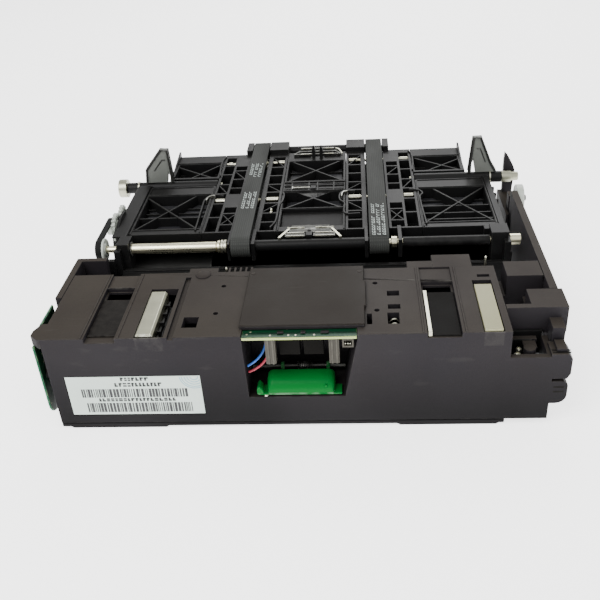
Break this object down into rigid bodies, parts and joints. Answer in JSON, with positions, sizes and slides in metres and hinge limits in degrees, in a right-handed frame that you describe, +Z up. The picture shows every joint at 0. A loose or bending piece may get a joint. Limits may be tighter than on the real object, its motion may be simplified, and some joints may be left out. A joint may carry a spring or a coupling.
{
  "type": "bill validator",
  "caption": "Banknote validator: a low sensor block with note channels and a release handle in front of a ribbed transport with flat belts on driven rollers.",
  "frame": {"origin": "middle of the footprint, on the surface that the unit stands on", "axes": "+Z up; the sensor block's front face looks along -Y; +X is to the right seen from the front, along the shafts"},
  "size_m": [0.266, 0.242, 0.0815],
  "materials": {
    "housing": "moulded charcoal plastic with a fine grain, browner on top",
    "frame_black": "black glass-filled plastic, satin on its ribs",
    "belt_rubber": "worn grey flat belt with a fine weave",
    "timing_rubber": "black toothed belt",
    "steel": "ground steel with a warm tint",
    "sheet_metal": "dull stamped sheet",
    "circuit_board": "green solder mask with a pale cut edge",
    "cream_plastic": "cream moulded plastic",
    "green_plastic": "glossy bright green",
    "grey_plastic": "mid grey moulded plastic",
    "white_plastic": "milky white gear plastic",
    "label_paper": null,
    "wire_blue": "blue insulation",
    "wire_red": "red insulation"
  },
  "bodies": {
    "root": {"base_cover": "housing", "belt_left": "belt_rubber", "belt_right": "belt_rubber", "board_connector": "cream_plastic", "board_post_left": "cream_plastic", "board_post_right": "cream_plastic", "center_cover_plate": "housing", "channel_strip": "steel", "cream_reference_bar": "cream_plastic", "drive_motor": "sheet_metal", "front_center_bracket": "sheet_metal", "front_housing": "housing", "front_sensor_board": "circuit_board", "handle_pin": "steel", "label_plate": "label_paper", "ladder_left_inner": "frame_black", "ladder_left_outer": "frame_black", "ladder_right_inner": "frame_black", "ladder_right_outer": "frame_black", "left_side_board": "circuit_board", "left_side_wall": "housing", "main_board": "circuit_board", "photo_sensor_block": "frame_black", "rear_center_bracket": "sheet_metal", "right_bracket": "housing", "right_side_rail": "housing", "scan_module_left": "frame_black", "scan_module_right": "frame_black", "shaft_bearing": "sheet_metal", "steel_sensor_bar": "steel", "timing_belt": "timing_rubber", "transport_chassis": "frame_black", "tray_front_center": "frame_black", "tray_front_left": "frame_black", "tray_front_right": "frame_black", "tray_rear_center": "frame_black", "tray_rear_left": "frame_black", "tray_rear_right": "frame_black", "wire_blue": "wire_blue", "wire_red": "wire_red"},
    "drive_shaft": {"drive_shaft": "steel", "drive_roller": "frame_black", "drive_sleeve": "frame_black", "timing_pulley": "white_plastic"},
    "rear_roller": {"rear_roller": "frame_black"},
    "idler_front_left": {"idler_front_left": "steel"},
    "idler_front_right": {"idler_front_right": "steel"},
    "idler_rear_left": {"idler_rear_left": "steel"},
    "idler_rear_right": {"idler_rear_right": "steel"},
    "timing_gear": {"timing_gear": "white_plastic"},
    "end_gear": {"end_gear": "white_plastic"},
    "motor_pulley": {"motor_pulley": "steel"},
    "side_pulley": {"side_pulley": "white_plastic"},
    "side_bar_left": {"bar_rod_left": "steel", "bar_tube_left": "frame_black", "guide_fin_left": "grey_plastic"},
    "side_bar_right": {"bar_rod_right": "steel", "bar_tube_right": "frame_black", "guide_fin_right": "grey_plastic"},
    "release_handle": {"release_handle": "green_plastic"}
  },
  "joints": [
    {"name": "drive_turn", "type": "hinge", "parent": "root", "child": "drive_shaft", "pos_m": [0, -0.027, 0.0535], "axis": [1, 0, 0], "continuous": true},
    {"name": "rear_turn", "type": "hinge", "parent": "root", "child": "rear_roller", "pos_m": [0, 0.1145, 0.0535], "axis": [1, 0, 0], "continuous": true},
    {"name": "idler_front_left_turn", "type": "hinge", "parent": "root", "child": "idler_front_left", "pos_m": [0, 0.032, 0.0544], "axis": [1, 0, 0], "continuous": true},
    {"name": "idler_front_right_turn", "type": "hinge", "parent": "root", "child": "idler_front_right", "pos_m": [0, 0.032, 0.0544], "axis": [1, 0, 0], "continuous": true},
    {"name": "idler_rear_left_turn", "type": "hinge", "parent": "root", "child": "idler_rear_left", "pos_m": [0, 0.091, 0.0544], "axis": [1, 0, 0], "continuous": true},
    {"name": "idler_rear_right_turn", "type": "hinge", "parent": "root", "child": "idler_rear_right", "pos_m": [0, 0.091, 0.0544], "axis": [1, 0, 0], "continuous": true},
    {"name": "timing_gear_turn", "type": "hinge", "parent": "root", "child": "timing_gear", "pos_m": [-0.1198, 0, 0.054], "axis": [1, 0, 0], "continuous": true},
    {"name": "end_gear_turn", "type": "hinge", "parent": "root", "child": "end_gear", "pos_m": [-0.1198, 0.01514, 0.054], "axis": [1, 0, 0], "continuous": true},
    {"name": "motor_turn", "type": "hinge", "parent": "root", "child": "motor_pulley", "pos_m": [-0.1198, -0.012, 0.022], "axis": [1, 0, 0], "continuous": true},
    {"name": "side_pulley_turn", "type": "hinge", "parent": "root", "child": "side_pulley", "pos_m": [0.1287, 0.0375, 0.0478], "axis": [1, 0, 0], "continuous": true},
    {"name": "side_bar_left_tilt", "type": "hinge", "parent": "root", "child": "side_bar_left", "pos_m": [0, 0.0585, 0.0535], "axis": [1, 0, 0], "range_deg": [-20, 20]},
    {"name": "side_bar_right_tilt", "type": "hinge", "parent": "root", "child": "side_bar_right", "pos_m": [0, 0.0585, 0.0535], "axis": [1, 0, 0], "range_deg": [-20, 20]},
    {"name": "handle_tip", "type": "hinge", "parent": "root", "child": "release_handle", "pos_m": [0, -0.1025, 0.0245], "axis": [1, 0, 0], "range_deg": [-12, 0], "stiffness_Nm_per_rad": 0.01}
  ],
  "couplings": [
    {"joint": "rear_turn", "follows": "drive_turn", "ratio": 1},
    {"joint": "idler_front_left_turn", "follows": "drive_turn", "ratio": 1.2791},
    {"joint": "idler_front_right_turn", "follows": "drive_turn", "ratio": 1.2791},
    {"joint": "idler_rear_left_turn", "follows": "drive_turn", "ratio": 1.2791},
    {"joint": "idler_rear_right_turn", "follows": "drive_turn", "ratio": 1.2791},
    {"joint": "timing_gear_turn", "follows": "drive_turn", "ratio": 1},
    {"joint": "end_gear_turn", "follows": "drive_turn", "ratio": -1.25},
    {"joint": "motor_turn", "follows": "drive_turn", "ratio": 1.2}
  ]
}
